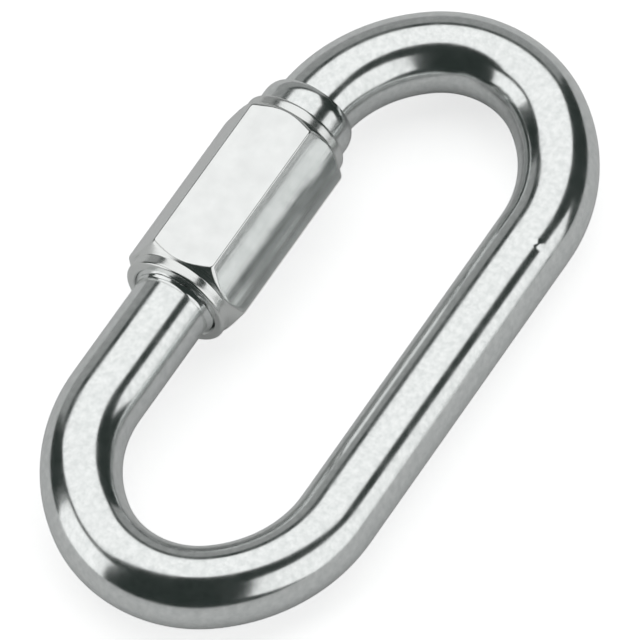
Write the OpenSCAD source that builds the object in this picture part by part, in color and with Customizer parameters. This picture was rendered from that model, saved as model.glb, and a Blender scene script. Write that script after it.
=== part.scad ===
// Chain quick link: one round bar bent into a long loop, with a gap in one leg that a
// hexagonal sleeve nut closes by screwing across it.
// It lies as it comes to rest, on its plain leg and on one flat of the nut: +X runs along
// the link towards the bow that the closed nut meets, +Y towards the leg with the nut.

/* [Bar] */
// Diameter of the round bar
bar_d = 8; // [7:0.5:9]
// Clear length inside the link, crown to crown
inner_length = 59; // [56:1:72]
// Clear width inside the link, leg to leg
inner_width = 18; // [16:0.5:24]
// Depth of each bow, from the end of the straight leg to the inside of its crown
bow_depth = 11; // [9:0.5:12.5]

/* [Threaded ends] */
// Height of the swollen, threaded ends above the bar, to the middle of the thread
upset = 0.35; // [0.25:0.05:0.6]
// Clear gap between the two threaded ends
gate_gap = 10; // [7:0.5:11]
// Length of the upper end that the closed nut covers
upper_grip = 4; // [3.5:0.25:5]
// Threaded length of the lower end
lower_thread = 8.5; // [5:0.5:9]
// Length of the taper between the bar and a threaded end
upset_taper = 1; // [0.6:0.1:1.4]
// Bevel at the tip of a threaded end
tip_bevel = 0.7; // [0.3:0.1:1]

/* [Shoulder] */
// Height above the bar of the shoulder that the closed nut comes up to
shoulder_rise = 0.9; // [0.6:0.05:1]
// Length of the shoulder
shoulder_length = 3; // [2.4:0.1:3.5]
// How far the shoulder reaches past the end of the straight leg
shoulder_overrun = 1.1; // [0.6:0.1:1.4]
// Length of the rounding over the upper edge of the shoulder
shoulder_round = 1.5; // [1:0.1:1.8]
// Height of the sharp step that is left at the end of that rounding
shoulder_step = 0.2; // [0.1:0.05:0.3]
// Clearance between the shoulder and the closed nut
seat_clearance = 0.1; // [0.05:0.05:0.3]

/* [Sleeve nut] */
// Overall length of the nut
nut_length = 22.6; // [21:0.2:24]
// Wall of the nut in the middle of a flat
flat_wall = 1.35; // [1.1:0.05:2]
// Clearance all round between the thread of the bar and that of the nut
thread_clearance = 0.05; // [0.02:0.01:0.1]
// Length of the round collar at each end of the nut
collar = 1.2; // [0.8:0.1:2]
// Wall of the collars
collar_wall = 1.1; // [0.8:0.05:1.3]
// Length of the turned cone between a collar and the corners of the hexagon
cone = 1; // [0.6:0.1:2]
// Depth of the countersink in each mouth
mouth = 0.25; // [0.1:0.05:0.4]
// Round on the outer edge of the collars
collar_edge_r = 0.35; // [0.1:0.05:0.5]

/* [Hidden] */
$fn = 96;

bar_r = bar_d / 2;
straight = inner_length - 2 * bow_depth;
leg_spacing = inner_width + bar_d;

// Each bow is three tangent arcs: a flank from each leg, and the crown between them.
// They meet where the line through their centres slopes 3 in 4
bow_rise = bow_depth + bar_r;
half_spacing = leg_spacing / 2;
join = [0.8, 0.6];
arc_offset = (bow_rise - half_spacing) / (join.x + join.y - 1);
crown_r = bow_rise - arc_offset * join.x;
flank_r = crown_r + arc_offset;

// Places along the leg with the nut, from the middle of the link
shoulder_top = straight / 2 + shoulder_overrun;
shoulder_foot = shoulder_top - shoulder_length;
nut_top = shoulder_foot - seat_clearance;
nut_foot = nut_top - nut_length;
upper_tip = nut_top - upper_grip;
lower_tip = upper_tip - gate_gap;
lower_taper_foot = lower_tip - lower_thread - upset_taper;

// Radii about the axis of that leg
thread_r = bar_r + upset;
// A taper runs on into the bar as far as it rises above it
taper_foot_r = bar_r - upset;
shoulder_r = bar_r + shoulder_rise;
bore_r = thread_r + thread_clearance;
flat_r = bore_r + flat_wall;
corner_r = flat_r / cos(30);
collar_r = bore_r + collar_wall;
// How far cones and cuts run out past the nut
turning_margin = flat_wall;

// Lying flat: the plain leg and the lower flat of the nut touch the surface
lean = asin((flat_r - bar_r) / leg_spacing);
leg_run = leg_spacing * cos(lean);
nut_leg_y = (leg_run + bar_r - corner_r) / 2;
plain_leg_y = nut_leg_y - leg_run;
middle_y = (nut_leg_y + plain_leg_y) / 2;
middle_z = (flat_r + bar_r) / 2;

// Points of a quarter round about a centre, between two angles, reaching so far each way
function quarter_round(centre, reach, from, to, steps = 6) =
    [for (i = [0:steps]) let (angle = from + (to - from) * i / steps)
        centre + [reach.x * cos(angle), reach.y * sin(angle)]];

// Turns a shape that stands along +Z so that it runs along +X from x
module along_x(x) {
    translate([x, 0, 0])
        rotate([0, 90, 0])
            children();
}

// Solid of revolution along +X whose outline is given as [radius, x] points
module turned(outline) {
    along_x(0)
        rotate_extrude()
            polygon(outline);
}

// Round bar bent to a radius about the origin, where it lies in a sector given by directions
module bent_bar(radius, directions) {
    reach = 2 * (radius + bar_d);
    intersection() {
        rotate([0, 0, 180])
            rotate_extrude()
                translate([radius, 0])
                    circle(d = bar_d);
        linear_extrude(2 * bar_d, center = true)
            polygon(concat([[0, 0]], reach * directions));
    }
}

// Small ball inside the bar that ties two stretches together where they meet
module tie(place) {
    translate([place.x, place.y, 0])
        sphere(d = bar_r / 4);
}

// Stretch of straight bar between two places along a leg
module straight_bar(y, from, to) {
    translate([0, y, 0])
        along_x(from)
            cylinder(d = bar_d, h = to - from);
}

// The bow at the +X end, in the plane of the link
module bow() {
    translate([straight / 2 + bow_rise - crown_r, 0, 0])
        bent_bar(crown_r, [[join.x, -join.y], join]);
    for (turn = [0, 180])
        rotate([turn, 0, 0])
            translate([straight / 2, half_spacing - flank_r, 0]) {
                bent_bar(flank_r, [join, [join.x, 1], [0, 1]]);
                tie(flank_r * join);
                tie([0, flank_r]);
            }
}

// The lower end swells from the bar to its thread and ends in a bevelled tip
module lower_end() {
    turned([
        [0, lower_taper_foot],
        [taper_foot_r, lower_taper_foot],
        [thread_r, lower_taper_foot + upset_taper],
        [thread_r, lower_tip - tip_bevel],
        [thread_r - tip_bevel, lower_tip],
        [0, lower_tip]
    ]);
}

// The upper end carries its thread up to the shoulder, where the bar begins to bend
module upper_end() {
    round_reach = [shoulder_rise - shoulder_step, shoulder_round];
    round_at = [shoulder_r, shoulder_top] - round_reach;
    turned(concat(
        [
            [0, upper_tip],
            [thread_r - tip_bevel, upper_tip],
            [thread_r, upper_tip + tip_bevel],
            [thread_r, shoulder_foot],
            [shoulder_r, shoulder_foot]
        ],
        quarter_round(round_at, round_reach, 0, 90),
        [[0, shoulder_top]]
    ));
}

// The bar, in one piece, leaning with its nut leg on the higher seat
module link_bar() {
    color([0.74, 0.76, 0.76])
        translate([0, middle_y, middle_z])
            rotate([lean, 0, 0]) {
                straight_bar(-half_spacing, -straight / 2, straight / 2);
                straight_bar(half_spacing, -straight / 2, lower_taper_foot + upset_taper);
                bow();
                mirror([1, 0, 0])
                    bow();
                translate([0, half_spacing, 0]) {
                    lower_end();
                    upper_end();
                }
            }
}

// Outside of the nut as the lathe leaves it: collar, cone, cone, collar
module nut_turning() {
    slope = cone / (corner_r - collar_r);
    margin_run = turning_margin * slope;
    edge = [collar_edge_r, collar_edge_r];
    round_at = collar_r - collar_edge_r;
    turned(concat(
        [[0, nut_foot]],
        quarter_round([round_at, nut_foot + collar_edge_r], edge, -90, 0),
        [
            [collar_r, nut_foot + collar],
            [corner_r + turning_margin, nut_foot + collar + cone + margin_run],
            [corner_r + turning_margin, nut_top - collar - cone - margin_run],
            [collar_r, nut_top - collar]
        ],
        quarter_round([round_at, nut_top - collar_edge_r], edge, 0, 90),
        [[0, nut_top]]
    ));
}

// Bore of the nut with a countersunk mouth at each end
module nut_bore() {
    turned([
        [0, nut_foot - turning_margin],
        [bore_r + mouth + turning_margin, nut_foot - turning_margin],
        [bore_r, nut_foot + mouth],
        [bore_r, nut_top - mouth],
        [bore_r + mouth + turning_margin, nut_top + turning_margin],
        [0, nut_top + turning_margin]
    ]);
}

// The nut, closed, with one flat down and its corners to the sides
module sleeve_nut() {
    color([0.86, 0.87, 0.86])
        translate([0, nut_leg_y, flat_r])
            difference() {
                intersection() {
                    along_x(nut_foot - turning_margin)
                        rotate([0, 0, 30])
                            cylinder(r = corner_r, h = nut_length + 2 * turning_margin, $fn = 6);
                    nut_turning();
                }
                nut_bore();
            }
}

link_bar();
sleeve_nut();
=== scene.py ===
"""Chain quick link: a bent round bar with a threaded gap that a hexagonal sleeve nut closes."""
import math
import bmesh
import bpy
from mathutils import Matrix, Quaternion, Vector


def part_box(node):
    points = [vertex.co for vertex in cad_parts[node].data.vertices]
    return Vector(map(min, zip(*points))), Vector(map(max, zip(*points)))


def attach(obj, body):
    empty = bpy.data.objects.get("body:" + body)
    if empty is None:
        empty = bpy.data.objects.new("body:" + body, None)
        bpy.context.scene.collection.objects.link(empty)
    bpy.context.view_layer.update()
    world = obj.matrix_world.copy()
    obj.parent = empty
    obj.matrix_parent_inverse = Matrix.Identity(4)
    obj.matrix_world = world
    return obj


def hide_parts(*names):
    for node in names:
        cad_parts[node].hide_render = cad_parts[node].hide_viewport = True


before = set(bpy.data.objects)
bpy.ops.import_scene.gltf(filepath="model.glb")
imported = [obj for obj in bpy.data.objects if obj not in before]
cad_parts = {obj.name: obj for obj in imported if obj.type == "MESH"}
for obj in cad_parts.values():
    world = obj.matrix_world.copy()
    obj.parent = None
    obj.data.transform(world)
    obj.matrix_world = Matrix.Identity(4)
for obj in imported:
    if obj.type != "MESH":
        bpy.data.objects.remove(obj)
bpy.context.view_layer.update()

scene = bpy.context.scene

MM = 0.001
nut_low, nut_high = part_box("sleeve_nut")

# Bar and its two bows, each a crown between two flanks that meet it on a slope of 3 in 4
bar_r = 4 * MM
straight = 37 * MM
leg_spacing = 26 * MM
crown_r = 11 * MM
flank_r = 16 * MM
join_x, join_y = 0.8, 0.6
flank_turn = math.atan2(join_x, join_y)
crown_turn = math.pi - 2 * flank_turn
crown_out = (flank_r - crown_r) * join_x
bar_segments = 128
flank_steps = 22
crown_steps = 30

# Threaded ends: the thread swings so far to each side of its middle
thread_pitch = 1 * MM
thread_swing = 0.27 * MM
thread_r = bar_r + 0.35 * MM
crest_sharpness = 0.96
tip_bevel = 0.7 * MM
upset_taper = 1 * MM
run_out_slope = 0.7
run_on = 0.2 * MM
bar_rings_per_pitch = 10

# Shoulder that the closed nut comes up to
shoulder_r = bar_r + 0.9 * MM
shoulder_length = 3 * MM
shoulder_overrun = 1.1 * MM
shoulder_round = 1.5 * MM
shoulder_step = 0.2 * MM
shoulder_break = 0.06 * MM
shoulder_hold = 0.4 * MM
shoulder_steps = 15
thread_relief = 0.1 * MM
relief_rise = 0.02 * MM
bow_stop = 1.6 * MM

# Sleeve nut, from its box: it lies on one flat with two corners to the sides
half_flat_turn = math.radians(30)
nut_foot = nut_low.x
nut_top = nut_high.x
nut_y = (nut_low.y + nut_high.y) / 2
nut_z = (nut_low.z + nut_high.z) / 2
flat_r = (nut_high.z - nut_low.z) / 2
corner_r = flat_r / math.cos(half_flat_turn)
bore_r = thread_r + 0.05 * MM
collar = 1.2 * MM
collar_r = bore_r + 1.1 * MM
cone = 1 * MM
mouth = 0.25 * MM
collar_edge_r = 0.35 * MM
corner_round = 0.3 * MM
arris_round = 0.14 * MM
cone_edge_round = 0.8 * MM
edge_hold = 0.12 * MM
edge_steps = 4
longest_cut = 0.4
nut_columns = 216
nut_rows_per_pitch = 9

# Places along the nut leg, from the middle of the link
upper_grip = 4 * MM
gate_gap = 10 * MM
lower_thread = 8.5 * MM
shoulder_top = straight / 2 + shoulder_overrun
shoulder_foot = shoulder_top - shoulder_length
upper_tip = nut_top - upper_grip
lower_tip = upper_tip - gate_gap
lower_thread_foot = lower_tip - lower_thread

# A small burr on the plain leg, near the upper bow: its place along the leg and round it
burr_along = 16.15 * MM
burr_turn = math.radians(113.6)
burr_r = 0.7 * MM
burr_rise = 0.1 * MM

# The link lies on its plain leg and on the nut, so its plane leans
lean = math.asin((nut_z - bar_r) / leg_spacing)
middle = Vector((0, nut_y - leg_spacing * math.cos(lean) / 2, (nut_z + bar_r) / 2))
lying = Matrix.Translation(middle) @ Matrix.Rotation(lean, 4, "X")


def thread_wave(along, turn):
    """Height of the rolled thread at a place along its axis and round it, from -1 to 1."""
    phase = 2 * math.pi * along / thread_pitch - turn
    return math.asin(crest_sharpness * math.sin(phase)) / math.asin(crest_sharpness)


def finished(bm, name, body, node, materials):
    """Closes a piece's mesh and hangs it on its body in place of its node."""
    bmesh.ops.recalc_face_normals(bm, faces=bm.faces)
    for face in bm.faces:
        face.smooth = True
    mesh = bpy.data.meshes.new(name)
    bm.to_mesh(mesh)
    bm.free()
    mesh.set_sharp_from_angle(angle=math.radians(35))
    for material in materials:
        mesh.materials.append(material)
    piece = bpy.data.objects.new(name, mesh)
    scene.collection.objects.link(piece)
    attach(piece, body)
    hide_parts(node)
    return piece


# Bar

def drawn_straight(bm, end, move, steps):
    """Draws the open end of the bar on in a straight line."""
    step = Vector((move / steps, 0, 0))
    drawn = bmesh.ops.spin(bm, geom=end, axis=(0, 0, 1), dvec=step, angle=0, steps=steps)
    return drawn["geom_last"]


def drawn_round(bm, end, centre, turn, steps):
    """Draws the open end of the bar on round a centre in the plane of the link."""
    cent = (centre[0], centre[1], 0)
    drawn = bmesh.ops.spin(bm, geom=end, cent=cent, axis=(0, 0, 1), angle=turn, steps=steps)
    return drawn["geom_last"]


def plain_ring(along, radius):
    """A ring without thread, at a place along the nut leg."""
    return along, radius, 0, radius


def threaded(tip, foot, bar_from):
    """Rings of a threaded end, from its bevelled tip to a cone that comes down to the bar."""
    steps = round(abs(foot - tip) / thread_pitch * bar_rings_per_pitch)
    rings = []
    for i in range(steps + 1):
        along = tip + (foot - tip) * i / steps
        bevel = thread_r - tip_bevel + abs(along - tip)
        run_out = bar_r + run_out_slope * abs(along - bar_from)
        rings.append((along, thread_r, thread_swing, min(bevel, run_out)))
    return rings


def lower_end():
    """Rings of the lower end: tip, thread, and the cone that runs out on the bar."""
    bar_from = lower_thread_foot - upset_taper / 2
    return threaded(lower_tip, bar_from, bar_from) + [plain_ring(bar_from - run_on, bar_r)]


def upper_end():
    """Rings of the upper end: the bar as it leaves the bow, the shoulder, the thread and the tip."""
    fall = shoulder_r - bar_r - shoulder_step
    sag = flank_r - math.sqrt(flank_r ** 2 - shoulder_overrun ** 2)
    rings = [(shoulder_top, bar_r, 0, bar_r, sag)]
    for i in range(shoulder_steps + 1):
        angle = math.pi / 2 * i / shoulder_steps
        along = shoulder_top - shoulder_round * (1 - math.cos(angle))
        rings.append(plain_ring(along, shoulder_r - fall * (1 - math.sin(angle))))
    rings += [
        plain_ring(shoulder_foot + shoulder_hold, shoulder_r),
        plain_ring(shoulder_foot + shoulder_break, shoulder_r),
        plain_ring(shoulder_foot, shoulder_r - shoulder_break),
        plain_ring(shoulder_foot, thread_r + relief_rise),
    ]
    return rings + threaded(upper_tip, shoulder_foot - thread_relief, shoulder_top)[::-1]


def shape_ring(ring, along, radius, swing, limit, sag=0):
    """Moves one ring of the bar to its place along the nut leg and to its radius there."""
    across = leg_spacing / 2
    for vert in ring:
        turn = math.atan2(vert.co.z, vert.co.y - across)
        reach = min(radius + swing * thread_wave(along, turn + lean), limit)
        vert.co = (along, across - sag + reach * math.cos(turn), reach * math.sin(turn))


def drawn_rings(bm, end, rings):
    """Draws the open end of the bar on through a list of rings."""
    for ring in rings:
        end = bmesh.ops.spin(bm, geom=end, axis=(0, 0, 1), angle=0, steps=1)["geom_last"]
        shape_ring([part for part in end if isinstance(part, bmesh.types.BMVert)], *ring)
    return end


def burred(bm):
    """Raises the small burr that a knock has left on the plain leg."""
    out = Vector((0, math.cos(burr_turn), math.sin(burr_turn)))
    place = Vector((burr_along, -leg_spacing / 2, 0)) + out * bar_r
    for vert in bm.verts:
        away = (vert.co - place).length / burr_r
        if away < 1:
            vert.co += out * burr_rise * (1 - away ** 2) ** 2


def link_bar(plating):
    """The bar, drawn in one go from its lower tip round both bows to its upper tip."""
    bm = bmesh.new()
    half = straight / 2
    across = leg_spacing / 2
    flank_y = across - flank_r
    start = Matrix.Translation((lower_tip, across, 0)) @ Matrix.Rotation(math.pi / 2, 4, "Y")
    ring = bmesh.ops.create_circle(bm, segments=bar_segments, radius=bar_r, matrix=start)["verts"]
    rings = lower_end()
    shape_ring(ring, *rings[0])
    end = drawn_rings(bm, ring + list(bm.edges), rings[1:])
    end = drawn_straight(bm, end, -half - rings[-1][0], 8)
    end = drawn_round(bm, end, (-half, flank_y), flank_turn, flank_steps)
    end = drawn_round(bm, end, (-half - crown_out, 0), crown_turn, crown_steps)
    end = drawn_round(bm, end, (-half, -flank_y), flank_turn, flank_steps)
    end = drawn_straight(bm, end, half + burr_along - burr_r, 14)
    end = drawn_straight(bm, end, 2 * burr_r, 14)
    end = drawn_straight(bm, end, half - burr_along - burr_r, 2)
    end = drawn_round(bm, end, (half, -flank_y), flank_turn, flank_steps)
    end = drawn_round(bm, end, (half + crown_out, 0), crown_turn, crown_steps)
    end = drawn_round(bm, end, (half, flank_y), flank_turn - bow_stop / flank_r, flank_steps)
    drawn_rings(bm, end, upper_end())
    bmesh.ops.holes_fill(bm, edges=bm.edges, sides=0)
    burred(bm)
    bmesh.ops.transform(bm, matrix=lying, verts=bm.verts)
    return finished(bm, "link_bar_drawn", "link", "link_bar", [plating])


# Sleeve nut

def hexagon_radius(turn):
    """Reach of the hexagon with rounded corners in a direction, from its axis."""
    off_flat = abs(turn % (2 * half_flat_turn) - half_flat_turn)
    flat_end = (flat_r - corner_round) * math.tan(half_flat_turn)
    if off_flat < math.atan2(flat_end, flat_r):
        return flat_r / math.cos(off_flat)
    off_corner = half_flat_turn - off_flat
    centre = (flat_r - corner_round) / math.cos(half_flat_turn)
    aside = centre * math.sin(off_corner)
    return centre * math.cos(off_corner) + math.sqrt(corner_round ** 2 - aside ** 2)


def eased_outline(corners):
    """Rounds each corner of an open outline and keeps a support point beside every round."""
    outline = [corners[0][0]]
    for (before, _), (here, radius), (after, _) in zip(corners, corners[1:], corners[2:]):
        back = before - here
        ahead = after - here
        cut = radius / math.tan(back.angle(ahead) / 2)
        cut = min(cut, longest_cut * back.length, longest_cut * ahead.length)
        back.normalize()
        ahead.normalize()
        first = here + back * cut
        last = here + ahead * cut
        outline.append(first + back * min(edge_hold, cut))
        for i in range(edge_steps + 1):
            t = i / edge_steps
            outline.append((1 - t) ** 2 * first + 2 * t * (1 - t) * here + t * t * last)
        outline.append(last + ahead * min(edge_hold, cut))
    outline.append(corners[-1][0])
    return outline


def nut_outside(turn):
    """Outline of the nut's outside in a direction, from the lower mouth to the upper one."""
    reach = hexagon_radius(turn)
    cone_run = collar + (reach - collar_r) / (corner_r - collar_r) * cone
    return eased_outline([
        (Vector((nut_foot, bore_r + mouth)), 0),
        (Vector((nut_foot, collar_r)), collar_edge_r),
        (Vector((nut_foot + collar, collar_r)), arris_round),
        (Vector((nut_foot + cone_run, reach)), cone_edge_round),
        (Vector((nut_top - cone_run, reach)), cone_edge_round),
        (Vector((nut_top - collar, collar_r)), arris_round),
        (Vector((nut_top, collar_r)), collar_edge_r),
        (Vector((nut_top, bore_r + mouth)), 0),
    ])


def nut_inside(turn):
    """Outline of the nut's threaded bore in a direction, from the upper mouth to the lower one."""
    rows = round((nut_top - nut_foot) / thread_pitch * nut_rows_per_pitch)
    outline = []
    for i in range(1, rows):
        along = nut_top + (nut_foot - nut_top) * i / rows
        mouth_r = bore_r + mouth - min(along - nut_foot, nut_top - along)
        reach = bore_r + thread_swing * thread_wave(along, turn)
        outline.append(Vector((along, max(reach, mouth_r))))
    return outline


def nut_turn(column):
    """Direction of a column of the nut's mesh: columns crowd towards the six corners."""
    share = column / nut_columns * 12
    half = math.floor(share)
    t = share - half
    eased = 1 - (1 - t) ** 2 if half % 2 else t * t
    return half_flat_turn * (half + eased)


def sleeve_nut(flats, turned):
    """The nut: one closed outline spun round its axis, then pressed to its hexagon and thread."""
    bm = bmesh.new()
    outside = nut_outside(0)
    row = bm.verts.layers.int.new("row")
    ring = bmesh.ops.create_circle(
        bm, segments=len(outside + nut_inside(0)), radius=1, matrix=Matrix.Translation((0, 2, 0)))
    for i, vert in enumerate(ring["verts"]):
        vert[row] = i
    loop = ring["verts"] + list(bm.edges)
    bmesh.ops.spin(
        bm, geom=loop, axis=(1, 0, 0), angle=2 * math.pi, steps=nut_columns, use_merge=True)
    outlines = {}
    for vert in bm.verts:
        round_axis = math.atan2(vert.co.z, vert.co.y) / (2 * math.pi)
        column = round(round_axis * nut_columns) % nut_columns
        if column not in outlines:
            turn = nut_turn(column)
            outlines[column] = turn, nut_outside(turn) + nut_inside(turn)
        turn, outline = outlines[column]
        along, reach = outline[vert[row]]
        vert.co = (along, nut_y + reach * math.cos(turn), nut_z + reach * math.sin(turn))
    # The flats lie along the longest step of the outline and reach into the rounds at its ends
    longest = max(range(len(outside) - 1), key=lambda i: outside[i + 1].x - outside[i].x)
    flat_rows = range(longest - 2, longest + 4)
    for face in bm.faces:
        on_flat = all(vert[row] in flat_rows for vert in face.verts)
        face.material_index = 0 if on_flat else 1
    return finished(bm, "sleeve_nut_turned", "nut", "sleeve_nut", [flats, turned])


# Finishes

class Shade:
    """One socket of a material, with plain arithmetic."""

    def __init__(self, tree, socket):
        self.tree = tree
        self.socket = socket

    def node(self, kind, settings=None, output=0, **sockets):
        """Adds a node, sets its settings and feeds its sockets by name, or by number as i0, i1."""
        made = self.tree.nodes.new(kind)
        for name, value in (settings or {}).items():
            setattr(made, name, value)
        for name, value in sockets.items():
            numbered = name[0] == "i" and name[1:].isdigit()
            key = int(name[1:]) if numbered else name.replace("_", " ")
            if isinstance(value, Shade):
                self.tree.links.new(value.socket, made.inputs[key])
            else:
                made.inputs[key].default_value = value
        return Shade(self.tree, made.outputs[output])

    def math(self, operation, first, second):
        """Adds one step of arithmetic on two values."""
        return self.node("ShaderNodeMath", {"operation": operation}, i0=first, i1=second)

    def __add__(self, other):
        return self.math("ADD", self, other)

    def __radd__(self, other):
        return self.math("ADD", other, self)

    def __sub__(self, other):
        return self.math("SUBTRACT", self, other)

    def __rsub__(self, other):
        return self.math("SUBTRACT", other, self)

    def __mul__(self, other):
        return self.math("MULTIPLY", self, other)

    def __rmul__(self, other):
        return self.math("MULTIPLY", other, self)

    def spread(self, start, end):
        """Maps the usual spread of a noise, 0.3 to 0.7, to start..end."""
        return self.node("ShaderNodeMapRange", i0=self, i1=0.3, i2=0.7, i3=start, i4=end)


def new_finish(name):
    """A material with its main shader and the place on the piece."""
    material = bpy.data.materials.new(name)
    material.use_nodes = True
    shader = material.node_tree.nodes["Principled BSDF"]
    place = Shade(material.node_tree, None).node("ShaderNodeTexCoord", output="Object")
    return material, shader, place


def new_metal(name):
    """A bare metal finish with its main shader and the place on the piece."""
    material, shader, place = new_finish(name)
    shader.inputs["Metallic"].default_value = 1
    return material, shader, place


def noise(place, scale, detail=2):
    """An even noise with so many grains to the metre."""
    return place.node("ShaderNodeTexNoise", output="Fac", Vector=place, Scale=scale, Detail=detail)


def lines(place, along, across):
    """A noise with its own number of grains to the metre along the link and across it."""
    stretched = place.node("ShaderNodeMapping", Vector=place, Scale=(along, across, across))
    return noise(stretched, 1)


def tinted(value, dark, light):
    """Blends two colours by a value from 0 to 1."""
    settings = {"data_type": "RGBA"}
    return value.node("ShaderNodeMix", settings, 2, i0=value, i6=(*dark, 1), i7=(*light, 1))


def feed(shader, name, value):
    """Links a value to a socket of a shader."""
    value.tree.links.new(value.socket, shader.inputs[name])


def feed_bump(shader, height, strength, distance):
    """Raises the surface of a finish by a height, in shading alone."""
    bump = height.node("ShaderNodeBump", Strength=strength, Distance=distance, Height=height)
    feed(shader, "Normal", bump)


def bright_plating():
    """Bright plated and polished bar, with a fine mottle and an orange peel."""
    material, shader, place = new_metal("bright_plating")
    mottle = noise(place, 1500, 3).spread(0, 1)
    feed(shader, "Base Color", tinted(mottle, (0.72, 0.74, 0.735), (0.85, 0.865, 0.86)))
    feed(shader, "Roughness", noise(place, 500).spread(0.13, 0.19))
    feed_bump(shader, noise(place, 700) * 0.0015 * MM, 1, 1)
    return material


def drawn_satin():
    """Satin flats of the nut, with the lines of drawing along it."""
    material, shader, place = new_metal("drawn_satin")
    drawing = lines(place, 150, 2600)
    mottle = noise(place, 500).spread(0, 1)
    feed(shader, "Base Color", tinted(mottle, (0.765, 0.775, 0.77), (0.83, 0.84, 0.835)))
    feed(shader, "Roughness", drawing.spread(0.07, 0.11))
    feed_bump(shader, drawing, 0.1, 0.02 * MM)
    return material


def turned_satin():
    """Turned collars, cones and bore of the nut, with the lines of the tool round them."""
    material, shader, place = new_metal("turned_satin")
    turning = lines(place, 9000, 60)
    feed(shader, "Base Color", tinted(noise(place, 250), (0.76, 0.77, 0.76), (0.82, 0.83, 0.82)))
    feed(shader, "Roughness", turning.spread(0.16, 0.24))
    feed_bump(shader, turning, 0.1, 0.03 * MM)
    return material


# Stage

floor_size = 6
floor_lift = 0.68
mirrored_lift = 0.08
room_tint = (0.027, 0.035, 0.032)
panel_distance = 0.6

# Soft panels, in degrees as the link sees them: bearing, elevation, width, height, roll; and glow
soft_panels = {
    "overhead_panel": (37, 68, 80, 56, 3, 1.02),
    "left_panel": (133.5, 13.2, 40, 65, 7, 1.04),
    "right_panel": (272, 22, 61, 48, -28, 1.0),
    "far_wall": (38, 7, 84, 45, 0, 0.28),
}


def pale_paper():
    """Pale matt paper, lifted to white where the camera sees it, a little where metal mirrors it."""
    material, shader, place = new_finish("pale_floor")
    shader.inputs["Base Color"].default_value = (0.8, 0.8, 0.8, 1)
    shader.inputs["Roughness"].default_value = 0.9
    shader.inputs["Specular IOR Level"].default_value = 0
    shader.inputs["Emission Strength"].default_value = 1
    seen = place.node("ShaderNodeLightPath", output="Is Camera Ray")
    mirrored = place.node("ShaderNodeLightPath", output="Is Glossy Ray")
    lift = tinted(seen + mirrored * mirrored_lift, (0, 0, 0), (floor_lift, floor_lift, floor_lift))
    feed(shader, "Emission Color", lift)
    return material


def pale_floor():
    """A wide flat sheet of pale paper under the link."""
    bm = bmesh.new()
    bmesh.ops.create_grid(bm, x_segments=1, y_segments=1, size=floor_size / 2)
    mesh = bpy.data.meshes.new("pale_floor")
    bm.to_mesh(mesh)
    bm.free()
    mesh.materials.append(pale_paper())
    sheet = bpy.data.objects.new("pale_floor", mesh)
    scene.collection.objects.link(sheet)


def direction(bearing, elevation):
    """Unit vector at a bearing from +X towards +Y and an elevation above the floor, in degrees."""
    b = math.radians(bearing)
    e = math.radians(elevation)
    return Vector((math.cos(b) * math.cos(e), math.sin(b) * math.cos(e), math.sin(e)))


def soft_panel(name, bearing, elevation, wide, high, roll, glow):
    """A soft light that spans so many degrees each way, as the link sees it."""
    light = bpy.data.lights.new(name, "AREA")
    light.shape = "RECTANGLE"
    light.size = 2 * panel_distance * math.tan(math.radians(wide / 2))
    light.size_y = 2 * panel_distance * math.tan(math.radians(high / 2))
    light.energy = glow * math.pi * light.size * light.size_y
    towards = direction(bearing, elevation)
    aimed = towards.to_track_quat("Z", "Y")
    rolled = aimed @ Quaternion((0, 0, 1), math.radians(roll))
    panel = bpy.data.objects.new(name, light)
    panel.location = middle + towards * panel_distance
    panel.rotation_euler = rolled.to_euler()
    panel.visible_camera = False
    scene.collection.objects.link(panel)


def surround():
    """A dark, faintly green room behind the panels; the camera sees it white."""
    world = bpy.data.worlds.new("surround")
    world.use_nodes = True
    ground = world.node_tree.nodes["Background"]
    seen = Shade(world.node_tree, None).node("ShaderNodeLightPath", output="Is Camera Ray")
    feed(ground, "Color", tinted(seen, room_tint, (1, 1, 1)))
    scene.world = world


def photo_camera():
    """Looks down on the link from the photograph's direction."""
    azimuth = math.radians(-53.87)
    elevation = math.radians(57.13)
    roll = math.radians(-5.47)
    distance = 1333 * MM
    frame_px = 640
    px = MM / 10.335
    aside_px, down_px = 1.56, 3.30
    back = Vector((
        math.sin(azimuth) * math.cos(elevation),
        -math.cos(azimuth) * math.cos(elevation),
        math.sin(elevation),
    ))
    level = Vector((math.cos(azimuth), math.sin(azimuth), 0))
    right = level * math.cos(roll) + back.cross(level) * math.sin(roll)
    up = back.cross(right)
    data = bpy.data.cameras.new("photo_camera")
    data.sensor_width = 36
    data.lens = data.sensor_width * distance / (frame_px * px)
    camera = bpy.data.objects.new("photo_camera", data)
    aim = middle - right * aside_px * px - up * down_px * px
    facing = Matrix((right, up, back)).transposed().to_4x4()
    camera.matrix_world = Matrix.Translation(aim + back * distance) @ facing
    scene.collection.objects.link(camera)
    scene.camera = camera


link_bar(bright_plating())
sleeve_nut(drawn_satin(), turned_satin())
pale_floor()
surround()
for panel_name, panel_setting in soft_panels.items():
    soft_panel(panel_name, *panel_setting)
photo_camera()
scene.view_settings.view_transform = "Standard"
